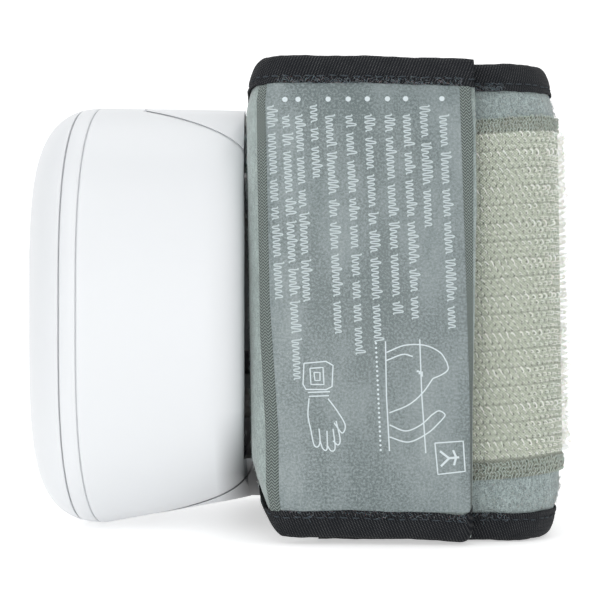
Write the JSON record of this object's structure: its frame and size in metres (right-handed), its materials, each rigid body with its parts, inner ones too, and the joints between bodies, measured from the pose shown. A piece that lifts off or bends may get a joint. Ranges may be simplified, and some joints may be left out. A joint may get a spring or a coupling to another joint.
{
  "type": "wrist blood pressure monitor",
  "caption": "Wrist blood pressure monitor: white moulded case on a closed hook-and-loop cuff, with display, start and memory buttons, battery door, air pump and inflatable bladder inside.",
  "frame": {"origin": "centre of the bounding box in X and Y, at the lowest point in Z: the part stands on the lower edge of the cuff and the low end of the case", "axes": "+Z along the wrist, -X the way the display looks, +X towards the far side of the cuff ring, -Y the side of the printed flap"},
  "size_m": [0.0862, 0.069, 0.0739],
  "materials": {
    "case_shell": "satin white moulding",
    "window": "smoked clear plastic",
    "lcd": "grey-green panel",
    "button": "satin grey",
    "inner_plastic": "plain moulding",
    "board": "solder resist over fibreglass",
    "black_plastic": "plain black",
    "steel": "plated",
    "brass": "turned",
    "cell": "printed foil sleeve",
    "silicone": "soft tube",
    "bladder": "welded film",
    "foam": "soft foam sheet",
    "velour": "short-pile loop velour",
    "lining": "brushed knit",
    "former": "springy sheet",
    "label": "satin translucent film",
    "twill": "woven tape",
    "binding": "ribbed edge tape",
    "hook_tape": "moulded hooks on a woven tape"
  },
  "bodies": {
    "monitor": {"front_cover": "case_shell", "display_window": "window", "trim_band": "case_shell", "rear_shell": "case_shell", "bottom_cover": "case_shell", "case_screw_low_near": "steel", "case_screw_high_near": "steel", "case_screw_low_far": "steel", "case_screw_high_far": "steel", "lcd_panel": "lcd", "lcd_holder": "inner_plastic", "circuit_board": "board", "start_switch": "black_plastic", "memory_switch": "black_plastic", "buzzer": "black_plastic", "battery_tray": "inner_plastic", "battery_cell_1": "cell", "plate_contact_1": "steel", "spring_contact_1": "steel", "battery_cell_2": "cell", "plate_contact_2": "steel", "spring_contact_2": "steel", "pump_motor": "steel", "pump_head": "inner_plastic", "air_block": "inner_plastic", "pressure_sensor": "black_plastic", "release_valve": "black_plastic", "pump_hose": "silicone", "valve_hose": "silicone", "sensor_hose": "silicone", "cuff_cloth": "velour", "cuff_former": "former", "air_bladder": "bladder", "tail_foam": "foam", "cuff_lining": "lining", "band_binding_low": "binding", "band_binding_high": "binding", "hook_tape_covered": "hook_tape", "hook_tape_side": "hook_tape", "hook_tape_corner": "hook_tape"},
    "start_button": {"start_button": "button"},
    "memory_button": {"memory_button": "button"},
    "battery_door": {"battery_door": "case_shell"},
    "flap": {"flap_cloth": "velour", "flap_loop_pad": "lining", "flap_binding_low": "binding", "flap_binding_high": "binding", "label_film": "label", "flap_tape_left": "twill", "flap_tape_right": "twill"},
    "pump_crank": {"pump_crank": "brass"}
  },
  "joints": [
    {"name": "start_press", "type": "slide", "parent": "monitor", "child": "start_button", "axis": [1, 0, 0], "range_m": [0, 0.0007], "stiffness_N_per_m": 800},
    {"name": "memory_press", "type": "slide", "parent": "monitor", "child": "memory_button", "axis": [1, 0, 0], "range_m": [0, 0.0007], "stiffness_N_per_m": 800},
    {"name": "battery_door_tip", "type": "hinge", "parent": "monitor", "child": "battery_door", "pos_m": [-0.02225, 0.0295, 0.05795], "axis": [1, 0, 0], "range_deg": [0, 80]},
    {"name": "flap_peel", "type": "hinge", "parent": "monitor", "child": "flap", "pos_m": [-0.0063, -0.03098, 0.037], "axis": [0, 0, -1], "range_deg": [0, 100]},
    {"name": "crank_spin", "type": "hinge", "parent": "monitor", "child": "pump_crank", "pos_m": [-0.0216, -0.0196, 0.037], "axis": [0, 0, 1], "continuous": true}
  ]
}
